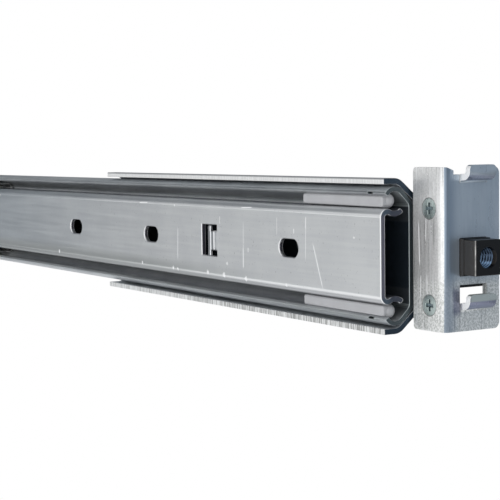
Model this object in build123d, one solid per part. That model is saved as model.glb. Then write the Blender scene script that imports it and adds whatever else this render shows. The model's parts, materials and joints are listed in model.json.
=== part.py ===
from build123d import *
import os
from math import atan2, cos, degrees, radians, sin, sqrt

# A pair of ball-bearing server rails, hung between the four posts of a 19 inch rack.
# Millimetres. X runs across the rack, Y from the front posts to the rear posts, Z is up.
# The origin lies midway between the rails, in the plane of the front flanges,
# at the height of the middle hole of the rack unit.
# One rail is drawn with u as its lateral axis: u = 0 is the flange bracket's side face,
# u grows outwards, and the server is at negative u. It is then placed and mirrored.

# The rack
hole_line_width = 465.1
hole_width = 9.525
hole_spacing = 15.875
post_depth = 660.4

# Sheet thicknesses
flange_sheet = 1.6
channel_sheet = 1.5
member_sheet = 1.2
slider_sheet = 1.5
cage_sheet = 0.5
leaf_sheet = 0.5

# Flange bracket
flange_top = 22.15
flange_bottom = -18.4
flange_width = 17.9
side_depth = 11.75
fold_radius = 2.2
top_corner = 1.0
outer_corner = 1.7
hole_offset = 9.5
hook_width = 8.4
hook_reach = 3.8
hook_rise = 2.2
hook_play = 0.15
hook_bend = 0.8
hook_corner = 1.2
hook_side_gap = 0.1
window_height = 6.8
notch_width = 1.9
notch_height = 1.8
notch_slope_width = 2.0
notch_slope_height = 0.8

# Lock button, its threaded insert and its leaf spring
button_length = 5.6
button_width = 8.2
button_height = 8.8
button_step = 0.2
button_base_length = 1.4
button_shoulder = 1.2
shoulder_half_height = 7.75
button_edge = 0.35
shoulder_depth = 2.3
window_play = 0.15
seat_gap = 0.05
insert_recess = 1.4
insert_radius = 3.5
insert_play = 0.02
insert_flange_radius = 4.6
insert_flange = 0.8
thread_radius = 2.55
mouth_play = 0.05
mouth_draft = 0.1
leaf_half_height = 5.2
leaf_length = 44.0
leaf_bend = 1.4
leaf_tail = 5.4
leaf_rivets = (24.0, 38.0)
leaf_rivet_radius = 1.4
leaf_head_radius = 2.6
leaf_head = 0.9
upset_radius = 2.2
upset = 0.7

# Countersunk flange screws and their clinch nuts
flange_screw_inset = 5.5
flange_screw_height = 12.0
flange_screw_radius = 1.5
flange_screw_head = 2.6
flange_screw_length = 5.4
screw_play = 0.04
nut_radius = 3.1
nut_pilot_radius = 2.3
nut_height = 1.9

# Slide section: the balls set the races
ball_radius = 2.38
ball_side = 5.0
ball_height = 13.85
member_play = 0.02
slider_play = 0.05
member_outset = 0.6
lip_angle = 148.0
race_exit_angle = 45.0
member_corner = 1.6
slider_face = 9.5
slider_shoulder = 12.0
slider_tip_angle = 45.0
slider_tip_round = 0.4

# Slide lengths
section_front = 12.7
member_rear_gap = 38.1
slider_rear_gap = 13.3
slide_overlap = 146.3
rear_play = 0.6

# Front guides
guide_recess = 0.9
guide_length = 35.7
guide_radius = 1.95
guide_side = 5.5
guide_nose = 8.0
guide_low = 12.35
guide_high = 15.0
guide_edge = 0.5
guide_end_bevel = 0.45
lip_slot_front = 18.0
lip_slot_length = 2.2
lip_slot_low = 15.5
lip_slot_high = 16.1

# Ball cage
cage_web_gap = 0.5
cage_face = 8.1
cage_race_gap = 0.45
cage_bend = 0.1
cage_play = 0.75
balls_per_row = 4
pocket_play = 0.12

# Mounting holes in the sliding member
slot_length = 9.7
slot_radius = 2.5
slot_places = (54.8, 136.4, 194.6)
tab_place = 95.6
tab_window_length = 7.4
tab_notch_length = 1.7
tab_window_half = 4.65
tab_stem_half = 2.95
tab_head_half = 4.5
tab_step = 0.1
tab_height = 1.2
tab_head_height = 0.9

# Stops at the rear
stop_length = 12.0
stop_half_height = 7.5
stop_gap = 0.3
stop_rivet_radius = 1.6
stop_rivet_head = 3.0
stop_rivet_pitch = 8.0
bumper_length = 10.0
bumper_half_height = 9.0
bumper_stem = 2.4
bumper_stem_head = 3.4
bumper_head = 0.9
block_corner = 1.5

# Channel brackets round the slide
channel_slant = 40.0
channel_clearance = 0.15
channel_top_gap = 0.6
channel_flange = 8.4
channel_corner = 2.5
front_channel_end = 170.2
rear_channel_length = 240.0
tongue_half_height = 13.0
tongue_gap = 0.6
boss_radius = 6.5
boss_slope = 0.8
boss_places = (62.0, 101.0, 142.0)
rivet_radius = 2.0
rivet_head_radius = 3.8
rivet_head = 1.1

# Depth clamp of the rear bracket
depth_travel = 127.0
clamp_insets = (95.4, 60.4)
clamp_slot_half = 2.6
clamp_slot_end_play = 0.6
clamp_screw_radius = 1.9
clamp_head_radius = 3.8
clamp_head = 2.3
clamp_head_bevel = 0.7
clamp_nut_radius = 3.3
clamp_nut_shoulder = 4.4
clamp_gap = 0.1
washer_radius = 5.6
washer = 1.0
washer_gap = 0.05

# Cross recess of the screws
recess_width = 0.8
recess_span = 1.45
recess_depth = 1.0

# Worked out from the sizes above
side_x = hole_line_width / 2 - hole_offset
race_radius = ball_radius + member_play
groove_radius = ball_radius + slider_play
member_web = member_outset - member_sheet
member_top = ball_height + race_radius + member_sheet
slider_inside = slider_face - slider_sheet
channel_web = flange_sheet + channel_sheet
member_length = post_depth - section_front - member_rear_gap
slider_length = member_length - slider_rear_gap
slide_travel = slider_length - slide_overlap
clamp_places = [post_depth - inset for inset in clamp_insets]
guide_front = section_front + guide_recess
guide_rear = guide_front + guide_length
stop_front = section_front + slider_length - stop_length
cage_length = stop_front - slide_travel - guide_rear - 2 * cage_play
cage_front = guide_rear + cage_play + slide_travel / 2
shoulder_front = flange_sheet + seat_gap
shoulder_rear = shoulder_front + shoulder_depth
leaf_rear = shoulder_rear + seat_gap + leaf_sheet
insert_rear = leaf_rear + seat_gap + insert_flange


def block(u, y, z):
    """A box between two lateral, two depth and two height values."""
    size = (u[1] - u[0], y[1] - y[0], z[1] - z[0])
    middle = ((u[0] + u[1]) / 2, (y[0] + y[1]) / 2, (z[0] + z[1]) / 2)
    return Pos(*middle) * Box(*size)


def prism(face, start, end):
    """Runs a section drawn in u and z from one depth to another."""
    placed = Pos(0, start, 0) * (Plane.XZ * face)
    return extrude(placed, amount=end - start, dir=(0, 1, 0))


def side_line(points, distance):
    """Points of the line that runs beside a path, to its right."""
    moved = []
    for i, point in enumerate(points):
        here = Vector(*point)
        normals = []
        if i > 0:
            along = (here - Vector(*points[i - 1])).normalized()
            normals.append(Vector(along.Y, -along.X))
        if i < len(points) - 1:
            along = (Vector(*points[i + 1]) - here).normalized()
            normals.append(Vector(along.Y, -along.X))
        if len(normals) == 1:
            moved.append(here + normals[0] * distance)
        else:
            spread = 1 + normals[0].dot(normals[1])
            moved.append(here + (normals[0] + normals[1]) * (distance / spread))
    return moved


def bent_sheet(points, thickness, inner_radius):
    """Section of a bent sheet: a path along one face, with the sheet to its right."""
    near_radii = []
    far_radii = []
    for i in range(1, len(points) - 1):
        before = Vector(*points[i]) - Vector(*points[i - 1])
        after = Vector(*points[i + 1]) - Vector(*points[i])
        turns_right = before.X * after.Y - before.Y * after.X < 0
        near_radii.append(inner_radius + thickness if turns_right else inner_radius)
        far_radii.append(inner_radius if turns_right else inner_radius + thickness)
    near = FilletPolyline(*points, radius=near_radii)
    far = FilletPolyline(*side_line(points, thickness), radius=far_radii)
    return section_between([near], [far])


def section_between(near, far):
    """Face between two lines that run side by side, each given as joined pieces."""
    edges = [edge for piece in near + far for edge in piece.edges()]
    edges.append(Line(near[0] @ 0, far[0] @ 0).edge())
    edges.append(Line(near[-1] @ 1, far[-1] @ 1).edge())
    return make_face(edges)


def across(y, z, start, end, radius, end_radius=None):
    """A round bar or cone along u, at one depth and height."""
    length = end - start
    place = Pos((start + end) / 2, y, z) * Rot(0, 90, 0)
    if end_radius is None:
        return place * Cylinder(radius, length)
    return place * Cone(radius, end_radius, length)


def lengthwise(u, z, start, end, radius):
    """A round bar along the rail."""
    return Pos(u, (start + end) / 2, z) * Rot(90, 0, 0) * Cylinder(radius, end - start)


def cross_recess(y, z, face, inwards):
    """The driver's cross in a screw head, cut from a face at one u."""
    near = face - inwards * recess_width / 2
    far = face + inwards * recess_depth
    depth = (min(near, far), max(near, far))
    wide = block(depth, (y - recess_span, y + recess_span), (z - recess_width / 2, z + recess_width / 2))
    tall = block(depth, (y - recess_width / 2, y + recess_width / 2), (z - recess_span, z + recess_span))
    return wide + tall


def on_race(radius, angle):
    """A point at a distance and angle from the upper ball line, in u and z."""
    return (
        -ball_side + radius * cos(radians(angle)),
        ball_height + radius * sin(radians(angle)),
    )


# Flange bracket


def hook_root(hole):
    """Upper face of a hook's root, just under the upper edge of a post hole."""
    return hole + hole_width / 2 - hook_play


def hook_floor(hole):
    """Height at which a hook leaves the flange's plane."""
    return hook_root(hole) - flange_sheet - hook_bend


def hook(hole):
    """A tab pushed forward out of the flange and turned up in front of the post."""
    underside = hook_root(hole) - flange_sheet
    path = [
        (0, hook_floor(hole) - flange_sheet),
        (0, underside),
        (-hook_reach, underside),
        (-hook_reach, hook_root(hole) + hook_rise),
    ]
    bent = extrude(Plane.YZ * bent_sheet(path, flange_sheet, hook_bend), amount=hook_width)
    tab = Pos(hole_offset - hook_width / 2, 0, 0) * bent
    top = tab.edges().filter_by(Axis.Y).group_by(Axis.Z)[-1]
    return fillet(top, hook_corner)


def flange_blank():
    """The folded plate before its windows are cut."""
    outline = Polyline(
        (0, side_depth),
        (0, 0),
        (flange_width, 0),
        (flange_width, flange_sheet),
        (flange_sheet, flange_sheet),
        (flange_sheet, side_depth),
        close=True,
    )
    plan = make_face(outline)
    plan = fillet(plan.vertices().sort_by_distance((0, 0))[0], fold_radius)
    inner = plan.vertices().sort_by_distance((flange_sheet, flange_sheet))[0]
    plan = fillet(inner, fold_radius - flange_sheet)
    blank = Pos(0, 0, flange_bottom) * extrude(plan, amount=flange_top - flange_bottom)
    outer = blank.edges().filter_by(Axis.Y).group_by(Axis.X)[-1]
    blank = fillet(outer, outer_corner)
    side = blank.edges().filter_by(Axis.X).group_by(Axis.Y)[-1]
    return fillet(side, top_corner)


def flange():
    plate = flange_blank()
    left = hole_offset - hook_width / 2 - hook_side_gap
    right = hole_offset + hook_width / 2 + hook_side_gap
    through = (-flange_sheet, 2 * flange_sheet)
    floor = hook_floor(-hole_spacing)
    plate -= block((left, right), through, (floor, floor + window_height))
    notch_floor = flange_top - notch_height
    notch_side = left - notch_width
    notch = Polyline(
        (left, hook_floor(hole_spacing)),
        (right, hook_floor(hole_spacing)),
        (right, flange_top + flange_sheet),
        (notch_side - notch_slope_width, flange_top + flange_sheet),
        (notch_side - notch_slope_width, flange_top),
        (notch_side, flange_top - notch_slope_height),
        (notch_side, notch_floor),
        (left, notch_floor),
        close=True,
    )
    plate -= prism(make_face(notch), *through)
    half_width = button_width / 2 + button_step + window_play
    half_height = button_height / 2 + button_step + window_play
    opening = block(
        (hole_offset - half_width, hole_offset + half_width), through, (-half_height, half_height)
    )
    plate -= fillet(opening.edges().filter_by(Axis.Y), button_edge)
    for z in (flange_screw_height, -flange_screw_height):
        plate -= across(flange_screw_inset, z, 0, 2 * flange_sheet, flange_screw_radius + screw_play)
        plate -= countersink(z, screw_play)
    for hole in (-hole_spacing, hole_spacing):
        plate += hook(hole)
    return plate


def countersink(z, play):
    depth = flange_screw_head - flange_screw_radius
    wide = flange_screw_head + play
    return across(flange_screw_inset, z, 0, depth, wide, flange_screw_radius + play)


def flange_screws():
    screws = []
    for z in (flange_screw_height, -flange_screw_height):
        screw = across(flange_screw_inset, z, flange_sheet / 2, flange_screw_length, flange_screw_radius)
        screw += countersink(z, 0)
        screw -= cross_recess(flange_screw_inset, z, 0, 1)
        screws.append(screw)
    return Compound(screws)


def clinch_nuts():
    nuts = []
    for z in (flange_screw_height, -flange_screw_height):
        nut = across(flange_screw_inset, z, channel_web, channel_web + nut_height, nut_radius)
        nut += across(flange_screw_inset, z, flange_sheet, channel_web, nut_pilot_radius)
        bore = flange_screw_radius + screw_play
        nut -= across(flange_screw_inset, z, 0, channel_web + 2 * nut_height, bore)
        nuts.append(nut)
    return Compound(nuts)


# Lock button


def button():
    """The moulded block that fills the middle post hole, with a shoulder behind the flange."""
    half_w = button_width / 2
    half_h = button_height / 2
    front = block(
        (hole_offset - half_w, hole_offset + half_w), (-button_length, 0), (-half_h, half_h)
    )
    front = fillet(front.edges().filter_by(Axis.Y), button_edge)
    front = chamfer(front.faces().sort_by(Axis.Y)[0].edges(), button_edge / 2)
    half_w += button_step
    half_h += button_step
    body = front + block(
        (hole_offset - half_w, hole_offset + half_w), (-button_base_length, shoulder_front), (-half_h, half_h)
    )
    half_w += button_shoulder
    body += block(
        (hole_offset - half_w, hole_offset + half_w),
        (shoulder_front, shoulder_rear),
        (-shoulder_half_height, shoulder_half_height),
    )
    seat = -button_length + insert_recess
    inner = thread_radius + mouth_play
    mouth = Cone(inner, inner + mouth_draft, insert_recess)
    body -= Pos(hole_offset, (seat - button_length) / 2, 0) * Rot(90, 0, 0) * mouth
    return body - lengthwise(hole_offset, 0, seat, 2 * shoulder_rear, insert_radius + insert_play)


def thread_insert():
    """Steel bush that takes the server's fixing screw, swaged behind the leaf spring."""
    seat = -button_length + insert_recess
    bush = lengthwise(hole_offset, 0, seat, insert_rear, insert_radius)
    bush += lengthwise(hole_offset, 0, insert_rear - insert_flange, insert_rear, insert_flange_radius)
    return bush - lengthwise(hole_offset, 0, 2 * seat, 2 * insert_rear, thread_radius)


def leaf_spring():
    """Strip riveted to the channel, folded behind the button that it pushes forward."""
    inner = channel_web + leaf_sheet
    path = [(inner, leaf_length), (inner, leaf_rear), (hole_offset + leaf_tail, leaf_rear)]
    plan = bent_sheet(path, leaf_sheet, leaf_bend)
    strip = Pos(0, 0, -leaf_half_height) * extrude(plan, amount=2 * leaf_half_height)
    strip -= lengthwise(hole_offset, 0, 0, 2 * leaf_rear, insert_radius + window_play)
    for y in leaf_rivets:
        strip -= across(y, 0, 0, 2 * inner, leaf_rivet_radius)
    return strip


def leaf_spring_rivets():
    rivets = []
    face = channel_web + leaf_sheet
    for y in leaf_rivets:
        rivet = across(y, 0, flange_sheet, face, leaf_rivet_radius)
        rivet += across(y, 0, face, face + leaf_head, leaf_head_radius, leaf_rivet_radius)
        rivet += across(y, 0, flange_sheet - upset, flange_sheet, upset_radius)
        rivets.append(rivet)
    return Compound(rivets)


# Channel brackets


def channel_section():
    """C section whose slanted corners pass round the outer member's ball races."""
    nx = sin(radians(channel_slant))
    nz = cos(radians(channel_slant))
    stack = race_radius + member_sheet + channel_clearance + channel_sheet
    reach = -ball_side * nx + ball_height * nz + stack
    top = member_top + channel_top_gap + channel_sheet
    slant_top = (reach - top * nz) / nx
    slant_low = (reach - channel_web * nx) / nz
    path = [
        (-channel_flange, top),
        (slant_top, top),
        (channel_web, slant_low),
        (channel_web, -slant_low),
        (slant_top, -top),
        (-channel_flange, -top),
    ]
    return bent_sheet(path, channel_sheet, channel_corner)


def channel(start, end, tongue_end):
    """A length of the section with a web tongue that runs behind the flange bracket."""
    body = prism(channel_section(), start, end)
    near = min(start, tongue_end)
    far = max(end, tongue_end)
    tongue = block(
        (flange_sheet, channel_web), (near, far), (-tongue_half_height, tongue_half_height)
    )
    return body + tongue


def front_channel():
    body = channel(section_front, front_channel_end, flange_sheet + tongue_gap)
    for y in boss_places:
        body += across(y, 0, member_outset, flange_sheet, boss_radius - boss_slope, boss_radius)
        dimple = boss_radius - channel_sheet
        floor = member_outset + channel_sheet
        body -= across(y, 0, floor, channel_web, dimple - boss_slope, dimple)
        body -= across(y, 0, 0, 2 * channel_web, rivet_radius)
    return drill_bracket_holes(body, 1, 0)


def rear_channel():
    end = post_depth - section_front
    start = post_depth - rear_channel_length
    body = channel(start, end, post_depth - flange_sheet - tongue_gap)
    reach = clamp_slot_half + clamp_slot_end_play
    slot_start = min(clamp_places) - depth_travel - reach
    slot_end = max(clamp_places) + reach
    slot = SlotOverall(slot_end - slot_start, 2 * clamp_slot_half)
    cutter = extrude(Plane.YZ * slot, amount=2 * channel_web, both=True)
    body -= Pos(0, (slot_start + slot_end) / 2, 0) * cutter
    return drill_bracket_holes(body, -1, post_depth)


def drill_bracket_holes(body, direction, plane):
    """Holes for the clinch nuts and leaf rivets, counted from the flange's plane."""
    y = plane + direction * flange_screw_inset
    for z in (flange_screw_height, -flange_screw_height):
        body -= across(y, z, 0, 2 * channel_web, nut_pilot_radius)
    for place in leaf_rivets:
        body -= across(plane + direction * place, 0, 0, 2 * channel_web, leaf_rivet_radius)
    return body


def channel_rivets():
    """Rivets through the bosses, with flush tails in the outer member."""
    rivets = []
    for y in boss_places:
        floor = member_outset + channel_sheet
        rivet = across(y, 0, member_web, floor, rivet_radius)
        rivet += across(y, 0, floor, floor + rivet_head, rivet_head_radius, rivet_radius)
        rivets.append(rivet)
    return Compound(rivets)


# Slide


def member_line(outwards):
    """Line at a distance outside the outer member's inner face, from lip to lip."""
    radius = race_radius + outwards
    web = member_web + outwards
    upper_exit = on_race(radius, race_exit_angle)
    corner_z = upper_exit[1] - (web - upper_exit[0])
    turn = race_exit_angle - lip_angle
    walls = FilletPolyline(
        upper_exit,
        (web, corner_z),
        (web, -corner_z),
        (upper_exit[0], -upper_exit[1]),
        radius=member_corner + outwards,
    )
    upper = CenterArc((-ball_side, ball_height), radius, lip_angle, turn)
    lower = CenterArc((-ball_side, -ball_height), radius, -race_exit_angle, turn)
    return [upper, walls, lower]


def outer_member():
    """Cabinet member: a web with a ball race rolled along each edge."""
    section = section_between(member_line(0), member_line(member_sheet))
    body = prism(section, section_front, section_front + member_length)
    for y in boss_places:
        body -= across(y, 0, -channel_web, channel_web, rivet_radius)
    for y in clamp_places:
        body -= across(y, 0, -channel_web, channel_web, clamp_nut_radius)
    body -= across(bumper_middle(), 0, -channel_web, channel_web, bumper_stem)
    for side in (1, -1):
        low, high = sorted((side * lip_slot_low, side * lip_slot_high))
        depth = (lip_slot_front, lip_slot_front + lip_slot_length)
        body -= block((-slider_face, -ball_side), depth, (low, high))
    return body


def shoulder_radius():
    """Radius of the bend between the web and the groove, tangent to both and to its own top."""
    across_gap = slider_face - ball_side
    drop = ball_height - slider_shoulder
    b = 2 * (across_gap - drop + groove_radius)
    c = across_gap**2 + drop**2 - groove_radius**2
    return (b - sqrt(b * b - 4 * c)) / 2


def slider_line(inwards):
    """Line at a distance inside the sliding member's outer face, from tip to tip."""
    bend = shoulder_radius()
    bend_u = -slider_face + bend
    bend_z = slider_shoulder - bend
    contact = degrees(atan2(ball_height - bend_z, -ball_side - bend_u))
    radius = groove_radius + inwards
    bend_radius = bend - inwards
    turn = 180 - contact
    groove = turn - slider_tip_angle
    face = -slider_face + inwards
    return [
        CenterArc((-ball_side, ball_height), radius, -slider_tip_angle, -groove),
        CenterArc((bend_u, bend_z), bend_radius, contact, turn),
        Line((face, bend_z), (face, -bend_z)),
        CenterArc((bend_u, -bend_z), bend_radius, 180, turn),
        CenterArc((-ball_side, -ball_height), radius, turn, -groove),
    ]


def sliding_member():
    rear = section_front + slider_length
    section = section_between(slider_line(0), slider_line(slider_sheet))
    tips = section.vertices().group_by(Axis.X)[-2:]
    section = fillet(tips[0] + tips[1], slider_tip_round)
    body = prism(section, section_front, rear)
    for place in slot_places:
        for y in (place, section_front + rear - place):
            slot = SlotOverall(slot_length, 2 * slot_radius)
            cutter = extrude(Plane.YZ * slot, amount=-2 * slider_face)
            body -= Pos(0, y, 0) * cutter
    for y in stop_rivet_places():
        body -= across(y[0], y[1], -2 * slider_face, 0, stop_rivet_radius)
    return chassis_tab(body)


def chassis_tab(body):
    """T-shaped tab sheared out of the web, standing towards the server."""
    depth = (-slider_face - slider_sheet, -slider_inside + slider_sheet)
    window = (tab_place, tab_place + tab_window_length)
    body -= block(depth, window, (-tab_window_half, tab_window_half))
    for low, high in ((tab_stem_half, tab_window_half), (-tab_window_half, -tab_stem_half)):
        body -= block(depth, (tab_place - tab_notch_length, tab_place), (low, high))
    thick = (tab_place - tab_step, tab_place + slider_sheet)
    top = -slider_face - tab_height
    body += block((top, -slider_inside), thick, (-tab_stem_half, tab_stem_half))
    head = (tab_place + tab_step, tab_place + slider_sheet)
    body += block((top, top + tab_head_height), head, (-tab_head_half, tab_head_half))
    return body


def guide(side):
    """White nose piece that fills a race at the front and stops the ball cage."""
    dome = guide_front + guide_radius
    bar = lengthwise(-guide_side, ball_height, dome, guide_rear, guide_radius)
    bar += Pos(-guide_side, dome, ball_height) * Sphere(guide_radius)
    place = Pos(-(guide_side + guide_nose) / 2, (guide_low + guide_high) / 2)
    flat = place * Rectangle(guide_nose - guide_side, guide_high - guide_low)
    flat = fillet(flat.vertices().group_by(Axis.X)[0], guide_edge)
    fin = prism(flat, guide_front + guide_end_bevel, guide_rear)
    front = fin.faces().sort_by(Axis.Y)[0]
    bar += chamfer(front.edges(), guide_end_bevel)
    return bar if side > 0 else mirror(bar, about=Plane.XY)


def cage_corner():
    """Outer corner of the cage, parallel to the outer member's slanted wall."""
    exit_point = on_race(race_radius, race_exit_angle)
    line = exit_point[0] + exit_point[1] - cage_race_gap * sqrt(2)
    top = ball_height + cage_sheet / 2
    web = member_web - cage_web_gap
    return web, top, line


def ball_cage():
    """Strip folded round both ball rows, with a pocket for each ball."""
    web, top, line = cage_corner()
    path = [
        (-cage_face, top),
        (line - top, top),
        (web, line - web),
        (web, web - line),
        (line - top, -top),
        (-cage_face, -top),
    ]
    section = bent_sheet(path, cage_sheet, cage_bend)
    body = prism(section, cage_front, cage_front + cage_length)
    for y in ball_places():
        pocket = Pos(-ball_side, y, 0) * Cylinder(ball_radius + pocket_play, 4 * ball_height)
        body -= pocket
    return body


def ball_places():
    pitch = cage_length / balls_per_row
    return [cage_front + pitch * (i + 0.5) for i in range(balls_per_row)]


def balls(side):
    return Compound([Pos(-ball_side, y, side * ball_height) * Sphere(ball_radius) for y in ball_places()])


# Stops


def stop_rivet_places():
    y = stop_front + stop_length / 2
    return [(y, stop_rivet_pitch / 2), (y, -stop_rivet_pitch / 2)]


def slider_stop():
    """Block in the sliding member's hollow that meets the cage at full travel."""
    body = block(
        (-slider_inside, member_web - stop_gap),
        (stop_front, stop_front + stop_length),
        (-stop_half_height, stop_half_height),
    )
    body = fillet(body.edges().filter_by(Axis.X), block_corner)
    for y, z in stop_rivet_places():
        body -= across(y, z, -2 * slider_face, 0, stop_rivet_radius)
    return body


def stop_rivets():
    """Flush rivets from the sliding member's face into the stop."""
    rivets = []
    for y, z in stop_rivet_places():
        rivet = across(y, z, -slider_face, member_web - stop_gap, stop_rivet_radius)
        rivets.append(rivet)
    return Compound(rivets)


def bumper_middle():
    return section_front + slider_length + rear_play + bumper_length / 2


def rear_bumper():
    """Moulded buffer that the closed sliding member rests against."""
    front = section_front + slider_length + rear_play
    body = block(
        (-slider_inside, member_web),
        (front, front + bumper_length),
        (-bumper_half_height, bumper_half_height),
    )
    body = fillet(body.edges().filter_by(Axis.X), block_corner)
    body += across(bumper_middle(), 0, member_web, member_outset, bumper_stem)
    tip = member_outset + bumper_head
    return body + across(bumper_middle(), 0, member_outset, tip, bumper_stem_head, bumper_stem)


# Depth clamp


def clamp_nuts():
    nuts = []
    for y in clamp_places:
        nut = across(y, 0, member_web, member_outset, clamp_nut_radius)
        nut += across(y, 0, member_outset, flange_sheet - clamp_gap, clamp_nut_shoulder)
        nut -= across(y, 0, -channel_web, channel_web, clamp_screw_radius + screw_play)
        nuts.append(nut)
    return Compound(nuts)


def clamp_washers():
    start = channel_web + washer_gap
    washers = []
    for y in clamp_places:
        ring = across(y, 0, start, start + washer, washer_radius)
        washers.append(ring - across(y, 0, 0, 2 * start, clamp_screw_radius + screw_play))
    return Compound(washers)


def clamp_screws():
    seat = channel_web + washer_gap + washer
    screws = []
    for y in clamp_places:
        screw = across(y, 0, member_web, seat, clamp_screw_radius)
        head = across(y, 0, seat, seat + clamp_head, clamp_head_radius)
        screw += chamfer(head.edges().group_by(Axis.X)[-1], clamp_head_bevel)
        screws.append(screw - cross_recess(y, 0, seat + clamp_head, -1))
    return Compound(screws)


# The rails


def end_pieces():
    """The pieces of one post's bracket, drawn for the front post."""
    return {
        "flange": flange(),
        "flange_screws": flange_screws(),
        "clinch_nuts": clinch_nuts(),
        "lock_button": button(),
        "thread_insert": thread_insert(),
        "leaf_spring": leaf_spring(),
        "leaf_rivets": leaf_spring_rivets(),
    }


def rail_pieces():
    """All pieces of the right-hand rail, by name."""
    pieces = {}
    for name, piece in end_pieces().items():
        pieces["front_" + name] = piece
        pieces["rear_" + name] = Pos(0, post_depth, 0) * mirror(piece, about=Plane.XZ)
    pieces["front_channel"] = front_channel()
    pieces["rear_channel"] = rear_channel()
    pieces["channel_rivets"] = channel_rivets()
    pieces["outer_member"] = outer_member()
    pieces["sliding_member"] = sliding_member()
    pieces["upper_guide"] = guide(1)
    pieces["lower_guide"] = guide(-1)
    pieces["ball_cage"] = ball_cage()
    pieces["upper_balls"] = balls(1)
    pieces["lower_balls"] = balls(-1)
    pieces["slider_stop"] = slider_stop()
    pieces["stop_rivets"] = stop_rivets()
    pieces["rear_bumper"] = rear_bumper()
    pieces["clamp_nuts"] = clamp_nuts()
    pieces["clamp_washers"] = clamp_washers()
    pieces["clamp_screws"] = clamp_screws()
    return pieces


os.makedirs("parts", exist_ok=True)
for name, piece in rail_pieces().items():
    right = Pos(side_x, 0, 0) * piece
    export_step(right, f"parts/right_{name}.step")
    export_step(mirror(right, about=Plane.YZ), f"parts/left_{name}.step")
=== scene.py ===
import json
import math

import bmesh
import bpy
from mathutils import Matrix, Vector


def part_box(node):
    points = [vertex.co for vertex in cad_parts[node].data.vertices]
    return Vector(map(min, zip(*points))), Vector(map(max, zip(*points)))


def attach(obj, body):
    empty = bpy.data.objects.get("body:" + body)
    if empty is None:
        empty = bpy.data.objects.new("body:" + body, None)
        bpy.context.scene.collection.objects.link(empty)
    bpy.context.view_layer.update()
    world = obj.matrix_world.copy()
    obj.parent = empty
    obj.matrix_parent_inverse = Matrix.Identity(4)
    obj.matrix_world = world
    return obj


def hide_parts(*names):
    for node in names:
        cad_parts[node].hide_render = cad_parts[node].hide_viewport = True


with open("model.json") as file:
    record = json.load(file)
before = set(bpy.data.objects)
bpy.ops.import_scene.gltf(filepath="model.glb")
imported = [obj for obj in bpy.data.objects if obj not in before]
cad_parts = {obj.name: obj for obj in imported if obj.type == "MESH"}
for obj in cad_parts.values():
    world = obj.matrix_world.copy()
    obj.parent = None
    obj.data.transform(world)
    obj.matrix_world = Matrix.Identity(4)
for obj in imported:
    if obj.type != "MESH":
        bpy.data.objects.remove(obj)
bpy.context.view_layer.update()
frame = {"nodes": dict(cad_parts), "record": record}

MM = 0.001
# White: bare metal in scratches, chips and rub streaks, and painted highlights on edges
BARE_METAL_AND_HIGHLIGHT = (1.0, 1.0, 1.0)

# Places read from the frame, in metres
flange_low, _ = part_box("right_front_flange")
screws_low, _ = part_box("right_front_flange_screws")
slide_low, slide_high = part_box("right_sliding_member")
_, outer_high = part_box("right_outer_member")
channel_low, channel_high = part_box("right_front_channel")
_, rear_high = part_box("right_rear_flange")
rail_middle = (slide_low[1] + slide_high[1]) / 2
posts_middle = (flange_low[1] + rear_high[1]) / 2
posts_reach = rear_high[1] - posts_middle


# Node helpers

# The colour sockets of a mix node
MIX_A, MIX_B, MIX_RESULT = 6, 7, 2


def vector_math(tree, operation, first, second=(0.0, 0.0, 0.0)):
    """A vector operation on a linked vector and a plain one."""
    made = tree.nodes.new("ShaderNodeVectorMath")
    made.operation = operation
    tree.links.new(first, made.inputs[0])
    made.inputs[1].default_value = second
    return made


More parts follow.
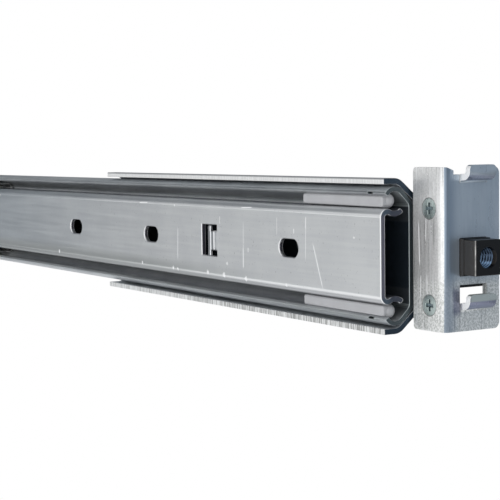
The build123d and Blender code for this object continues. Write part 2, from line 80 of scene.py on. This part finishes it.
class Shader:
    """Builds one material's node tree with short calls."""

    def __init__(self, name):
        self.material = bpy.data.materials.new(name)
        self.material.use_nodes = True
        self.tree = self.material.node_tree
        self.principled = self.tree.nodes["Principled BSDF"]
        texture = self.tree.nodes.new("ShaderNodeTexCoord")
        self.coords = texture.outputs["Object"]
        self.normal = texture.outputs["Normal"]

    def set(self, **values):
        """Plain values on the shader's own sockets."""
        for key, value in values.items():
            self.principled.inputs[key.replace("_", " ")].default_value = value

    def feed(self, name, output):
        self.tree.links.new(output, self.principled.inputs[name])

    def plug(self, socket, value):
        """Links an output, or sets a plain value."""
        if hasattr(value, "links"):
            self.tree.links.new(value, socket)
        elif isinstance(value, tuple) and socket.type == "RGBA":
            socket.default_value = (*value, 1.0)
        else:
            socket.default_value = value

    def node(self, kind, **inputs):
        made = self.tree.nodes.new(kind)
        for key, value in inputs.items():
            self.plug(made.inputs[key.replace("_", " ")], value)
        return made

    def stretched(self, x, y, z):
        """Object coordinates scaled along each axis."""
        made = self.node("ShaderNodeMapping", Vector=self.coords)
        made.inputs["Scale"].default_value = (x, y, z)
        return made.outputs["Vector"]

    def noise(self, vector, scale, detail=3.0, roughness=0.5):
        made = self.node("ShaderNodeTexNoise", Vector=vector, Scale=scale,
                         Detail=detail, Roughness=roughness)
        return made.outputs["Fac"]

    def ramp(self, value, low, high, to_low=0.0, to_high=1.0):
        """A soft step between two values."""
        made = self.node("ShaderNodeMapRange", Value=value)
        made.interpolation_type = "SMOOTHSTEP"
        self.plug(made.inputs["From Min"], low)
        self.plug(made.inputs["From Max"], high)
        self.plug(made.inputs["To Min"], to_low)
        self.plug(made.inputs["To Max"], to_high)
        return made.outputs["Result"]

    def ramp_mm(self, value, low, high, to_low=0.0, to_high=1.0):
        """A soft step between two places given in millimetres."""
        return self.ramp(value, low * MM, high * MM, to_low, to_high)

    def math(self, operation, a, b=0.0):
        made = self.tree.nodes.new("ShaderNodeMath")
        made.operation = operation
        self.plug(made.inputs[0], a)
        self.plug(made.inputs[1], b)
        return made.outputs[0]

    def add(self, a, b):
        return self.math("ADD", a, b)

    def minus(self, a, b):
        return self.math("SUBTRACT", a, b)

    def times(self, a, b):
        return self.math("MULTIPLY", a, b)

    def larger(self, a, b):
        return self.math("MAXIMUM", a, b)

    def unsigned(self, a):
        return self.math("ABSOLUTE", a)

    def axis(self, vector, name):
        return self.node("ShaderNodeSeparateXYZ", Vector=vector).outputs[name]

    def place(self, name):
        """One of the object coordinates."""
        return self.axis(self.coords, name)

    def facing(self, name, least=0.8):
        """Where the surface faces along one axis, either way."""
        return self.ramp(self.unsigned(self.axis(self.normal, name)), least - 0.1, least)

    def edges(self):
        """The softened edges between side faces and faces that look along the rail."""
        x = self.unsigned(self.axis(self.normal, "X"))
        y = self.unsigned(self.axis(self.normal, "Y"))
        return self.ramp(self.times(x, y), 0.12, 0.3)

    def beside(self, vector, direction, offset):
        """Distance from a plane, without its sign."""
        dot = vector_math(self.tree, "DOT_PRODUCT", vector, direction)
        return self.unsigned(self.minus(dot.outputs["Value"], offset))

    def proud(self):
        """How far a place stands out past the posts' faces, at the front or the rear."""
        from_middle = self.beside(self.coords, (0.0, 1.0, 0.0), posts_middle)
        return self.minus(from_middle, posts_reach - HOOK_REACH)

    def mix(self, factor, a, b):
        """Mixes two colours, given as sockets or as plain colours."""
        made = self.tree.nodes.new("ShaderNodeMix")
        made.data_type = "RGBA"
        self.plug(made.inputs["Factor"], factor)
        self.plug(made.inputs[MIX_A], a)
        self.plug(made.inputs[MIX_B], b)
        return made.outputs[MIX_RESULT]

    def tint(self, mask, colour):
        """Lays a colour over the material's own where a mask shows."""
        self.colour = self.mix(mask, self.colour, colour)

    def dull(self, mask, amount):
        """Makes the material less of a metal where a mask shows."""
        self.metallic = self.minus(self.metallic, self.times(mask, amount))

    def bump(self, height, strength, distance):
        made = self.node("ShaderNodeBump", Height=height, Strength=strength, Distance=distance)
        self.feed("Normal", made.outputs["Normal"])

    def line(self, vector, start, end, width):
        """A soft line between two places, each given as y and z in millimetres."""
        from_y, from_z = start[0] * MM, start[1] * MM
        run_y, run_z = end[0] * MM - from_y, end[1] * MM - from_z
        length = math.hypot(run_y, run_z)
        way = (0.0, run_y / length, run_z / length)
        side = (0.0, -run_z / length, run_y / length)
        along = self.beside(vector, way, way[1] * from_y + way[2] * from_z + length / 2)
        across = self.beside(vector, side, side[1] * from_y + side[2] * from_z)
        thin = self.ramp(across, 0.3 * width * MM, 0.6 * width * MM, 1.0, 0.0)
        ends = self.ramp(along, 0.35 * length, 0.5 * length, 1.0, 0.0)
        return self.times(thin, ends)

    def scratches(self, vector, lines):
        """All lines of a list in one mask."""
        marks = 0.0
        for start, end, width in lines:
            marks = self.larger(self.line(vector, start, end, width), marks)
        return marks

    def chip(self, vector, depth, height, size):
        """A small round mark at a depth and height in millimetres."""
        centre = (0.0, depth * MM, height * MM)
        apart = vector_math(self.tree, "DISTANCE", vector, centre).outputs["Value"]
        ragged = self.times(self.noise(self.coords, 1800.0, 1.0), 0.8 * size * MM)
        return self.ramp(self.add(apart, ragged), 0.65 * size * MM, 1.0 * size * MM, 1.0, 0.0)


# Sheet steel

# How strongly the drawing lines' noise is squeezed along each axis, by the way the lines run
DRAWN_LINES = {"y": (900, 25, 900), "z": (900, 900, 60)}
GRAIN_DEPTH = 0.02 * MM


def sheet_steel(name, light, dark, roughness, along, grain=0.35, metallic=0.9):
    """Zinc plated sheet: cloudy plating, fine drawing lines along one axis and scattered pits."""
    s = Shader(name)
    s.metallic = metallic
    clouds = s.noise(s.coords, 90.0, 4.0)
    drawn = s.noise(s.stretched(*DRAWN_LINES[along]), 1.0, 3.0)
    specks = s.noise(s.coords, 1500.0, 2.0)
    tone = s.add(s.times(clouds, 0.5), s.times(drawn, 0.5))
    s.colour = s.mix(s.ramp(tone, 0.35, 0.65), dark, light)
    spots = s.ramp(specks, 0.66, 0.74)
    s.tint(s.times(spots, 0.35), tuple(0.45 * c for c in dark))
    drawn_roughness = s.ramp(drawn, 0.3, 0.7, roughness - 0.05, roughness + 0.05)
    s.roughness = s.add(drawn_roughness, s.times(spots, 0.1))
    s.height = s.add(s.times(drawn, 0.5), s.times(specks, 0.5))
    s.grain = grain
    return s


def finish_steel(s):
    """Feeds the finished colour, roughness, metal and grain to the shader."""
    s.plug(s.principled.inputs["Metallic"], s.metallic)
    s.feed("Base Color", s.colour)
    s.feed("Roughness", s.roughness)
    s.bump(s.height, s.grain, GRAIN_DEPTH)
    return s


def darken_ends(s, ends, colour, roughness=0.5):
    """Paints the ends of a section darker than its plated faces, and makes them rougher."""
    s.tint(ends, colour)
    s.roughness = s.larger(s.roughness, s.times(ends, roughness))


# The sliding member

# Marks on its web: depth and height at both ends, then width, in millimetres
WEB_SCRATCHES = (
    ((118.0, 3.5), (118.5, -7.5), 0.35),
    ((92.0, 7.5), (92.0, 5.0), 0.35),
    ((78.5, 7.0), (78.8, -7.5), 0.25),
    ((78.7, -1.0), (78.8, -7.5), 0.50),
    ((60.5, 8.5), (60.6, 3.0), 0.25),
    ((46.0, 9.0), (46.4, -3.5), 0.25),
    ((46.0, 9.0), (46.2, 5.5), 0.45),
    ((43.0, 2.5), (38.0, -10.5), 0.45),
    ((76.0, -1.0), (76.0, -2.5), 0.45),
    ((52.0, 5.5), (52.0, 4.0), 0.45),
    ((144.5, 10.0), (138.0, 10.2), 0.40),
    ((80.0, 10.3), (73.5, 10.5), 0.35),
    ((300.0, 8.0), (286.0, 5.0), 0.35),
    ((352.0, -2.0), (351.0, -9.0), 0.35),
    ((415.0, 9.0), (409.0, -6.0), 0.35),
    ((498.0, 6.0), (500.0, -3.0), 0.35),
)
# Chips on the same face: depth, height and size, in millimetres
WEB_CHIPS = (
    (142.8, -9.6, 1.0), (121.5, -9.8, 1.3), (118.5, -10.0, 1.0), (120.0, 9.8, 0.8),
    (99.5, -9.7, 1.5), (90.0, -9.9, 1.6), (88.0, -6.4, 1.0), (77.5, -10.1, 1.6),
    (56.0, -10.3, 1.1), (24.0, 4.3, 0.8), (210.0, -9.8, 1.4), (268.0, 9.6, 1.0),
    (333.0, -10.0, 1.2), (455.0, -9.7, 1.4),
)
# How far back the tab is, and how far it stands out from the web
TAB_DEPTH = 96.0 * MM
TAB_HEIGHT = 1.2 * MM


def slider_finish():
    """A bright marked web with painted shade below, far back and in its hollow, darker cut ends
    and a painted highlight on its softened edges.
    """
    s = sheet_steel("slider_steel", (0.77, 0.78, 0.785), (0.70, 0.71, 0.725), 0.38, "y", 0.15)
    web = rail_coordinates(s)
    marks = s.scratches(web, WEB_SCRATCHES)
    for depth, height, size in WEB_CHIPS:
        marks = s.larger(s.chip(web, depth, height, size), marks)
    # Painted shade on the web's downward faces
    under = s.ramp(s.axis(s.normal, "Z"), -0.1, -0.5, 0.0, 0.6)
    s.tint(under, (0.36, 0.37, 0.385))
    # Painted shade: the web darker and bluer far back
    far = s.ramp_mm(s.place("Y"), 110, 330, 0.0, 0.75)
    s.tint(far, (0.40, 0.45, 0.50))
    # Painted shade along the lower part of the web, further back
    foot_shade = s.ramp_mm(s.place("Z"), -6, -9.5)
    further = s.ramp_mm(s.place("Y"), 45, 150, 0.0, 0.8)
    s.tint(s.times(foot_shade, further), (0.46, 0.475, 0.47))
    s.tint(marks, BARE_METAL_AND_HIGHLIGHT)
    s.roughness = s.add(s.roughness, s.times(marks, 0.2))
    s.dull(marks, 0.6)
    s.height = s.add(s.height, s.times(marks, -1.0))
    tab_window = s.ramp_mm(s.beside(s.coords, (0.0, 1.0, 0.0), TAB_DEPTH), 6, 7)
    tips = s.ramp_mm(s.unsigned(s.place("Z")), 9.5, 11)
    cut = s.mix(tips, (0.17, 0.165, 0.205), (0.11, 0.14, 0.18))
    darken_ends(s, s.times(s.facing("Y", 0.9), tab_window), cut)
    across = s.unsigned(s.place("X"))
    # Painted shade on the parts deep in the rail's hollow, behind the web
    inside = s.ramp(across, slide_low[0] + 3.0 * MM, slide_low[0] + 5.0 * MM)
    s.tint(s.times(inside, 0.9), (0.07, 0.075, 0.10))
    tab_top = slide_low[0] + TAB_HEIGHT
    tab = s.ramp(across, tab_top - 0.3 * MM, tab_top - 0.1 * MM, 0.8, 0.0)
    s.tint(tab, (0.20, 0.21, 0.23))
    # Painted highlight along the softened edges between side faces and end faces
    wear_and_highlight = s.edges()
    s.tint(wear_and_highlight, BARE_METAL_AND_HIGHLIGHT)
    s.dull(wear_and_highlight, 0.5)
    return finish_steel(s)


def rail_coordinates(s):
    """Object coordinates, turned end for end on the left rail so that its marks differ."""
    side = s.math("SIGN", s.place("X"))
    depth = s.add(s.times(s.add(s.place("Y"), -rail_middle), side), rail_middle)
    height = s.times(s.place("Z"), side)
    return s.node("ShaderNodeCombineXYZ", X=0.0, Y=depth, Z=height).outputs["Vector"]


# The channels and the outer member


def channel_finish():
    """Plated channel whose sheared lips are bright, with teeth left by the shears below."""
    s = sheet_steel("channel_steel", (0.66, 0.68, 0.70), (0.52, 0.54, 0.56), 0.36, "y")
    inward = s.minus(channel_low[0] + 0.25 * MM, s.unsigned(s.place("X")))
    lip = s.ramp_mm(inward, 0, 0.1)
    teeth = s.noise(s.stretched(1.0, 2200.0, 120.0), 1.0, 2.0)
    lower = s.ramp_mm(s.place("Z"), -1, 1, 1.0, 0.2)
    nearer = s.ramp_mm(s.place("Y"), 60, 200, 1.0, 0.35)
    # Teeth left by the shears, showing more near the front and lower down
    wear_and_highlight = s.times(s.ramp(teeth, 0.62, 0.40), s.times(lower, nearer))
    sheared = s.mix(wear_and_highlight, (0.97, 0.97, 0.96), (0.45, 0.45, 0.44))
    top = channel_high[2]
    crest = s.ramp(s.place("Z"), top - 0.45 * MM, top - 0.25 * MM)
    sheared = s.mix(crest, sheared, (0.42, 0.42, 0.43))
    s.tint(lip, sheared)
    s.dull(lip, 0.55)
    s.height = s.add(s.height, s.times(s.times(teeth, lip), 1.5))
    darken_ends(s, s.facing("Y"), (0.045, 0.065, 0.09))
    return finish_steel(s)


def member_finish():
    """The outer member, dark with grease and shade on the inside of its web."""
    s = sheet_steel("member_steel", (0.70, 0.72, 0.73), (0.58, 0.60, 0.62), 0.36, "y",
                    metallic=0.75)
    outside = outer_high[0]
    deep = s.ramp(s.unsigned(s.place("X")), outside - 6.0 * MM, outside - 1.0 * MM)
    web = s.ramp_mm(s.unsigned(s.place("Z")), 8, 11, 1.0, 0.0)
    mouth = s.ramp_mm(s.place("Y"), 30, 48, 0.9, 0.0)
    away = s.times(s.math("SIGN", s.place("X")), s.axis(s.normal, "X"))
    inner_face = s.ramp(away, 0.2, 0.5, 1.0, 0.0)
    dark = s.times(s.times(deep, inner_face), s.larger(web, mouth))
    s.tint(dark, (0.04, 0.055, 0.075))
    darken_ends(s, s.facing("Y"), (0.09, 0.11, 0.12))
    # Painted highlight along the softened edges
    s.tint(s.times(s.edges(), 0.8), (0.60, 0.66, 0.66))
    return finish_steel(s)


# The flange brackets, their screws, lock blocks and bushes

# Rubbed lines on the side plates: depth and height at both ends, then width, in millimetres
SIDE_SCRATCHES = (
    ((9.6, 9.0), (9.2, -3.0), 0.40),
    ((6.6, 12.0), (6.8, 3.5), 0.30),
    ((6.4, -4.0), (6.2, -12.5), 0.30),
    ((3.6, 19.0), (3.5, 15.0), 0.25),
    ((8.8, -4.5), (8.9, -10.5), 0.35),
)
# How far the hooks and the lock blocks stand out past the posts' faces
HOOK_REACH = 3.8 * MM
BLOCK_REACH = 5.6 * MM
# The middle of the window beside the lower hook, round which a shadow is painted, outwards from
# the flange's edge and down
WINDOW_OUT = 4.2 * MM
WINDOW_DOWN = 11.0 * MM


def flange_finish():
    """Blue-grey zinc, mottled towards the lower end and marked by rubbing on the side plate, with
    painted light and shade on the side plate, the face and the hooks.
    """
    s = sheet_steel("flange_steel", (0.54, 0.61, 0.68), (0.46, 0.53, 0.60), 0.32, "z",
                    metallic=0.7)
    height = s.place("Z")
    outward = from_flange_edge(s)
    hook = s.ramp_mm(s.proud(), 0.3, 1)
    plate = s.minus(1.0, hook)
    low = s.times(s.ramp_mm(height, -8, -3, 1.0, 0.0), plate)
    side = s.facing("X", 0.7)
    # Painted light: the side plates are given a lighter colour than the front faces
    s.tint(side, (0.90, 0.89, 0.89))

    mottle = s.noise(s.coords, 1900.0, 3.0, 0.6)
    patch = s.mix(s.ramp(mottle, 0.44, 0.57), (0.63, 0.65, 0.62), (1.0, 1.0, 0.98))
    s.tint(s.times(s.larger(low, s.times(side, 0.35)), 0.85), patch)
    # Rub lines, for stains and bright streaks on the side and lower plate
    rubbed_and_lit = s.noise(s.stretched(1300.0, 1300.0, 55.0), 1.0, 2.0)
    stains = s.times(s.ramp(rubbed_and_lit, 0.42, 0.32), s.larger(low, s.times(side, 0.8)))
    s.tint(s.times(stains, 0.6), (0.26, 0.27, 0.27))
    streaks = s.times(s.ramp(rubbed_and_lit, 0.56, 0.63), side)
    s.tint(streaks, BARE_METAL_AND_HIGHLIGHT)

    # Painted shade: the front face darker and bluer just beside the fold
    fold_shade = s.times(s.ramp_mm(outward, 1, 6, 0.8, 0.0), s.minus(1.0, side))
    s.tint(fold_shade, (0.24, 0.31, 0.40))
    # The lower hook, tinted purple-blue on its face below the lip, with a painted highlight on its
    # upper bend above it
    lower_hook = s.times(hook, s.ramp_mm(height, -8, -6, 0.9, 0.0))
    lip = s.ramp_mm(height, -11, -10.6)
    s.tint(lower_hook, s.mix(lip, (0.38, 0.39, 0.52), (0.62, 0.66, 0.62)))
    # Painted shadow in and round the lower hook's window
    window_out = s.unsigned(s.add(outward, -WINDOW_OUT))
    window_down = s.unsigned(s.add(height, WINDOW_DOWN))
    window_shadow = s.times(s.ramp_mm(window_out, 0.6, 1.8, 0.7, 0.0),
                        s.ramp_mm(window_down, 2, 4.5, 1.0, 0.0))
    s.tint(window_shadow, (0.08, 0.09, 0.18))

    # Painted shade on the hooks' downward faces
    underside_shade = s.times(hook, s.ramp(s.axis(s.normal, "Z"), -0.25, -0.65, 0.0, 0.85))
    s.tint(underside_shade, (0.20, 0.23, 0.32))
    # Painted highlight on the hooks' side faces
    flank_highlight = s.times(hook, side)
    s.tint(flank_highlight, BARE_METAL_AND_HIGHLIGHT)
    s.dull(flank_highlight, 0.5)
    # Painted shade on the plate's cut faces that look up
    upward_shade = s.ramp(s.axis(s.normal, "Z"), 0.8, 0.95, 0.0, 0.85)
    s.tint(s.times(upward_shade, plate), (0.07, 0.08, 0.10))

    scratches = s.times(s.scratches(s.coords, SIDE_SCRATCHES), side)
    s.tint(scratches, BARE_METAL_AND_HIGHLIGHT)
    s.dull(scratches, 0.6)
    s.dull(s.larger(low, s.times(side, 0.5)), 0.25)
    # Painted shade round the screw heads
    for node in ("right_front_flange_screws", "right_rear_flange_screws"):
        s.tint(screw_rings(s, node), (0.12, 0.13, 0.13))
    s.roughness = s.add(s.roughness, s.times(low, 0.08))
    s.height = s.add(s.height, s.times(mottle, 0.8))
    return finish_steel(s)


def from_flange_edge(s):
    """Distance outwards from the flange brackets' inner edge, on either rail."""
    return s.minus(s.unsigned(s.place("X")), flange_low[0])


def screw_rings(s, node):
    """Painted shade in the gap round a flange's two screw heads, on either rail."""
    low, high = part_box(node)
    head = (high[1] - low[1]) / 2
    depth = s.minus(s.place("Y"), low[1] + head)
    height = s.minus(s.unsigned(s.place("Z")), high[2] - head)
    apart = s.math("SQRT", s.add(s.times(depth, depth), s.times(height, height)))
    gap = s.unsigned(s.add(apart, -head - 0.05 * MM))
    return s.ramp_mm(gap, 0.04, 0.18, 0.75, 0.0)


def screw_finish():
    """Blue zinc screws with painted shade in the cross below the face of the head."""
    s = sheet_steel("screw_steel", (0.74, 0.83, 0.81), (0.50, 0.59, 0.57), 0.3, "z",
                    metallic=0.8)
    face = screws_low[0]
    # Painted shade in the cross recess below the face of the head
    below = s.ramp(s.unsigned(s.place("X")), face + 0.1 * MM, face + 0.35 * MM)
    s.tint(s.times(below, 0.7), (0.16, 0.20, 0.24))
    return finish_steel(s)


def corner_highlight(s):
    """A painted highlight along the front corner of a lock block, patchy along its length."""
    tip = s.ramp(s.proud(), BLOCK_REACH - 0.6 * MM, BLOCK_REACH - 0.4 * MM)
    inward = s.ramp_mm(from_flange_edge(s), 5.9, 6.2, 1.0, 0.0)
    patchy = s.ramp(s.noise(s.stretched(10, 10, 400), 1.0, 2.0), 0.3, 0.6, 0.35, 0.8)
    return s.times(s.times(s.edges(), patchy), s.times(tip, inward))


def bush_finish():
    """Blue zinc bushes, darker above the lowest part of the bore."""
    s = sheet_steel("insert_steel", (0.36, 0.56, 0.85), (0.22, 0.38, 0.62), 0.2, "z")
    shaded = s.ramp_mm(s.place("Z"), -2, -0.9, 0.0, 0.88)
    s.tint(shaded, (0.03, 0.04, 0.06))
    return finish_steel(s)


# All materials


def plain_steel(name, light, dark, roughness, along, grain=0.35):
    return finish_steel(sheet_steel(name, light, dark, roughness, along, grain))


def plastic(name, colour, roughness, mottle=0.15, subsurface=0.0, specular=0.5, rubbed_and_lit=False):
    """Moulded plastic with a fine grain, and on the lock blocks painted light: lighter side faces
    and a painted highlight along the front corner.
    """
    s = Shader(name)
    s.set(Specular_IOR_Level=specular)
    cloud = s.noise(s.coords, 200.0, 3.0)
    darker = tuple(c * (1 - mottle) for c in colour)
    body = s.mix(s.ramp(cloud, 0.35, 0.65), darker, colour)
    if rubbed_and_lit:
        # Painted light: the lock block's side faces lighter than its front
        body = s.mix(s.facing("X"), body, (0.038, 0.035, 0.033))
        # Painted highlight along the block's front corner
        body = s.mix(corner_highlight(s), body, (0.75, 0.73, 0.70))
    s.feed("Base Color", body)
    s.feed("Roughness", s.ramp(cloud, 0.3, 0.7, roughness - 0.05, roughness + 0.08))
    s.bump(s.noise(s.coords, 2500.0, 2.0), 0.25, 0.01 * MM)
    if subsurface:
        s.set(Subsurface_Weight=subsurface, Subsurface_Scale=1.0 * MM,
              Subsurface_Radius=(1.0, 1.0, 1.0))
    return s


def build_materials():
    """One material for each slot of the record."""
    return {
        "flange_steel": flange_finish(),
        "channel_steel": channel_finish(),
        "member_steel": member_finish(),
        "slider_steel": slider_finish(),
        "cage_steel": plain_steel("cage_steel", (0.62, 0.62, 0.60), (0.50, 0.50, 0.48), 0.3, "y"),
        "ball_steel": plain_steel("ball_steel", (0.8, 0.8, 0.82), (0.7, 0.7, 0.72), 0.12, "y",
                                  grain=0.05),
        "screw_steel": screw_finish(),
        "rivet_steel": plain_steel("rivet_steel", (0.62, 0.63, 0.65), (0.5, 0.5, 0.52), 0.34, "z"),
        "spring_steel": plain_steel("spring_steel", (0.42, 0.43, 0.45), (0.32, 0.33, 0.35), 0.28,
                                    "z"),
        "insert_steel": bush_finish(),
        "button_plastic": plastic("button_plastic", (0.005, 0.005, 0.0055), 0.32,
                                  specular=0.35, rubbed_and_lit=True),
        # The guides are white plastic, given a grey colour that is painted shade under the lips
        "guide_plastic": plastic("guide_plastic", (0.53, 0.53, 0.545), 0.4, 0.06, 0.2),
        "bumper_plastic": plastic("bumper_plastic", (0.02, 0.02, 0.02), 0.5),
    }


# Softened edges

# Width of each sheet metal slot's softened edge, in millimetres, and of everything else's
SHEET_EDGES = {"slider_steel": 0.3, "channel_steel": 0.2, "member_steel": 0.15}
PLAIN_EDGE = 0.1
WELD_DISTANCE = 0.002 * MM
FLAT_ANGLE = math.radians(0.5)
SHARP_ANGLE = math.radians(40)


def dress_nodes(shaders):
    """Gives each CAD node its slot's material and softens its sheared edges."""
    for part in frame["record"]["subparts"]:
        node = frame["nodes"][part["node"]]
        slot = part["material_slot"]
        node.data.materials.clear()
        node.data.materials.append(shaders[slot].material)
        soften(node, SHEET_EDGES.get(slot))


def soften(node, sheet_edge):
    """Bevels sharp edges after joining the flat faces' triangles."""
    weld = node.modifiers.new("weld", "WELD")
    weld.merge_threshold = WELD_DISTANCE
    flat = node.modifiers.new("flat", "DECIMATE")
    flat.decimate_type = "DISSOLVE"
    flat.angle_limit = FLAT_ANGLE
    bevel = node.modifiers.new("bevel", "BEVEL")
    bevel.width = (sheet_edge or PLAIN_EDGE) * MM
    bevel.use_clamp_overlap = sheet_edge is None
    bevel.segments = 2
    bevel.limit_method = "ANGLE"
    bevel.angle_limit = SHARP_ANGLE
    bevel.harden_normals = True


# The threaded bushes

THREAD_PITCH = 1.0 * MM
THREAD_ROOT = 2.98 * MM
THREAD_CREST = 2.52 * MM
# The ridge's steepness, and how much of it is cut away into the flat at the root
THREAD_SLOPE = 1.6
THREAD_FLAT = 0.2
BUSH_RADIUS = 3.5 * MM
BUSH_CHAMFER = 0.15 * MM
BUSH_FLANGE = 0.8 * MM
STEPS_ROUND = 60
STEPS_PER_TURN = 8


def threaded_bush(side, end, material):
    """A bush with a helical thread, in place of the CAD bush with its plain bore."""
    node = f"{side}_{end}_thread_insert"
    low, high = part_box(node)
    centre = (low + high) / 2
    length = high[1] - low[1]
    mouth, inward = (low[1], 1.0) if end == "front" else (high[1], -1.0)
    mesh = bmesh.new()
    rings = []

    def add_ring(depth, radius_at):
        ring = []
        for step in range(STEPS_ROUND):
            turn = step / STEPS_ROUND
            radius = radius_at(turn)
            x = centre[0] + radius * math.cos(2 * math.pi * turn)
            z = centre[2] + radius * math.sin(2 * math.pi * turn)
            ring.append(mesh.verts.new((x, mouth + inward * depth, z)))
        rings.append(ring)

    for depth, radius in bush_outline(length, (high[2] - low[2]) / 2):
        add_ring(depth, lambda turn: radius)
    thread_steps = round(length / THREAD_PITCH * STEPS_PER_TURN)
    for step in range(thread_steps, 0, -1):
        depth = length * step / thread_steps
        add_ring(depth, lambda turn: thread_radius(depth, length, turn))
    rings.append(rings[0])
    for first, second in zip(rings, rings[1:]):
        for i in range(STEPS_ROUND):
            j = (i + 1) % STEPS_ROUND
            mesh.faces.new((first[i], first[j], second[j], second[i]))
    bmesh.ops.recalc_face_normals(mesh, faces=mesh.faces)
    data = bpy.data.meshes.new(node + "_cut")
    mesh.to_mesh(data)
    mesh.free()
    data.materials.append(material)
    piece = bpy.data.objects.new(node + "_cut", data)
    bpy.context.scene.collection.objects.link(piece)
    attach(piece, f"{side}_{end}_button")
    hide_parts(node)


def bush_outline(length, flange_radius):
    """The bush's outside from its mouth to its flange: depths below the mouth, and radii."""
    seat = length - BUSH_FLANGE
    return (
        (0.0, THREAD_ROOT),
        (0.0, BUSH_RADIUS - BUSH_CHAMFER),
        (BUSH_CHAMFER, BUSH_RADIUS),
        (seat, BUSH_RADIUS),
        (seat, flange_radius - BUSH_CHAMFER),
        (seat + BUSH_CHAMFER, flange_radius),
        (length - BUSH_CHAMFER, flange_radius),
        (length, flange_radius - BUSH_CHAMFER),
    )


def thread_radius(depth, length, turn):
    """Radius of the bore at a depth below its mouth and a share of a turn."""
    phase = (depth / THREAD_PITCH + turn) % 1.0
    ridge = min(max(THREAD_SLOPE * (1 - abs(2 * phase - 1)) - THREAD_FLAT, 0.0), 1.0)
    lead_in = THREAD_ROOT - min(depth, length - depth)
    return max(THREAD_ROOT - ridge * (THREAD_ROOT - THREAD_CREST), lead_in)


# The photograph's viewpoint

PHOTO_LENS = 101.1
PHOTO_SENSOR = 36.0
PHOTO_PLACE = (0.0057, -0.2669, 0.0282)
PHOTO_RIGHT = (0.8538, -0.5204, -0.0139)
PHOTO_FORWARD = (0.5181, 0.8521, -0.0745)


def place_camera():
    """Sets the camera that was fitted to the photo."""
    data = bpy.data.cameras.new("photo_camera")
    data.lens = PHOTO_LENS
    data.sensor_width = PHOTO_SENSOR
    data.clip_start = 0.01
    data.clip_end = 20.0
    camera = bpy.data.objects.new("photo_camera", data)
    bpy.context.scene.collection.objects.link(camera)
    right = Vector(PHOTO_RIGHT).normalized()
    forward = Vector(PHOTO_FORWARD).normalized()
    up = right.cross(forward).normalized()
    right = forward.cross(up).normalized()
    turn = Matrix((right, up, -forward)).transposed()
    camera.matrix_world = Matrix.Translation(PHOTO_PLACE) @ turn.to_4x4()
    bpy.context.scene.camera = camera


# Studio

# Each panel of light: its direction, its full and outer angles in degrees, and its colour
PANELS = (
    ((-0.79, 0.61, -0.03), 14, 28, (0.83, 0.83, 0.815)),
    ((-0.87, -0.50, 0.05), 20, 58, (1.3, 1.3, 1.3)),
    ((0.55, -0.83, 0.05), 12, 42, (0.13, 0.16, 0.20)),
    ((0.0, 0.0, 1.0), 10, 45, (0.6, 0.6, 0.6)),
)
ROOM_LIGHT = (0.18, 0.195, 0.21)
BACKDROP_LIGHT = 1.0
# The floor's size and place, and the distances over which it fades, in metres
FLOOR_SIZE = 4.0
FLOOR_PLACE = (0.0, 0.33, -0.45)
FLOOR_FADE = (0.8, 1.3)


def studio():
    """White surroundings to the camera, with soft panels in them that the metal reflects."""
    bpy.context.scene.view_settings.view_transform = "Standard"
    world = bpy.data.worlds.new("studio")
    bpy.context.scene.world = world
    world.use_nodes = True
    tree = world.node_tree
    direction = tree.nodes.new("ShaderNodeTexCoord").outputs["Generated"]
    light = tree.nodes.new("ShaderNodeCombineXYZ")
    for socket, level in zip(light.inputs, ROOM_LIGHT):
        socket.default_value = level
    total = light.outputs["Vector"]
    for panel in PANELS:
        total = add_panel(tree, direction, total, *panel)
    room = tree.nodes["Background"]
    tree.links.new(total, room.inputs["Color"])
    backdrop = tree.nodes.new("ShaderNodeBackground")
    backdrop.inputs["Color"].default_value = (1.0, 1.0, 1.0, 1.0)
    backdrop.inputs["Strength"].default_value = BACKDROP_LIGHT
    seen = tree.nodes.new("ShaderNodeLightPath").outputs["Is Camera Ray"]
    choose = tree.nodes.new("ShaderNodeMixShader")
    tree.links.new(seen, choose.inputs["Fac"])
    tree.links.new(room.outputs[0], choose.inputs[1])
    tree.links.new(backdrop.outputs[0], choose.inputs[2])
    tree.links.new(choose.outputs[0], tree.nodes["World Output"].inputs["Surface"])


def add_panel(tree, direction, total, toward, inner, outer, colour):
    """Adds a soft round panel of light: full inside one angle and gone outside another."""
    dot = vector_math(tree, "DOT_PRODUCT", direction, Vector(toward).normalized())
    ramp = tree.nodes.new("ShaderNodeMapRange")
    ramp.interpolation_type = "SMOOTHSTEP"
    tree.links.new(dot.outputs["Value"], ramp.inputs["Value"])
    ramp.inputs["From Min"].default_value = math.cos(math.radians(outer))
    ramp.inputs["From Max"].default_value = math.cos(math.radians(inner))
    sum_up = vector_math(tree, "MULTIPLY_ADD", ramp.outputs["Result"], colour)
    tree.links.new(total, sum_up.inputs[2])
    return sum_up.outputs["Vector"]


def pale_floor():
    """A pale floor below the rails that fades out before the edge of the plane."""
    bpy.ops.mesh.primitive_plane_add(size=FLOOR_SIZE, location=FLOOR_PLACE)
    floor = bpy.context.object
    floor.name = "floor"
    paper = Shader("floor_paper")
    cloud = paper.noise(paper.coords, 3.0)
    paper.feed("Base Color", paper.mix(cloud, (0.86, 0.86, 0.87), (0.88, 0.88, 0.88)))
    paper.set(Roughness=0.9, Emission_Color=(1.0, 1.0, 1.0, 1.0), Emission_Strength=0.25)
    distance = vector_math(paper.tree, "LENGTH", paper.coords).outputs["Value"]
    paper.feed("Alpha", paper.ramp(distance, *FLOOR_FADE, 1.0, 0.0))
    floor.data.materials.append(paper.material)


shaders = build_materials()
dress_nodes(shaders)
for side in ("right", "left"):
    for end in ("front", "rear"):
        threaded_bush(side, end, shaders["insert_steel"].material)
place_camera()
studio()
pale_floor()
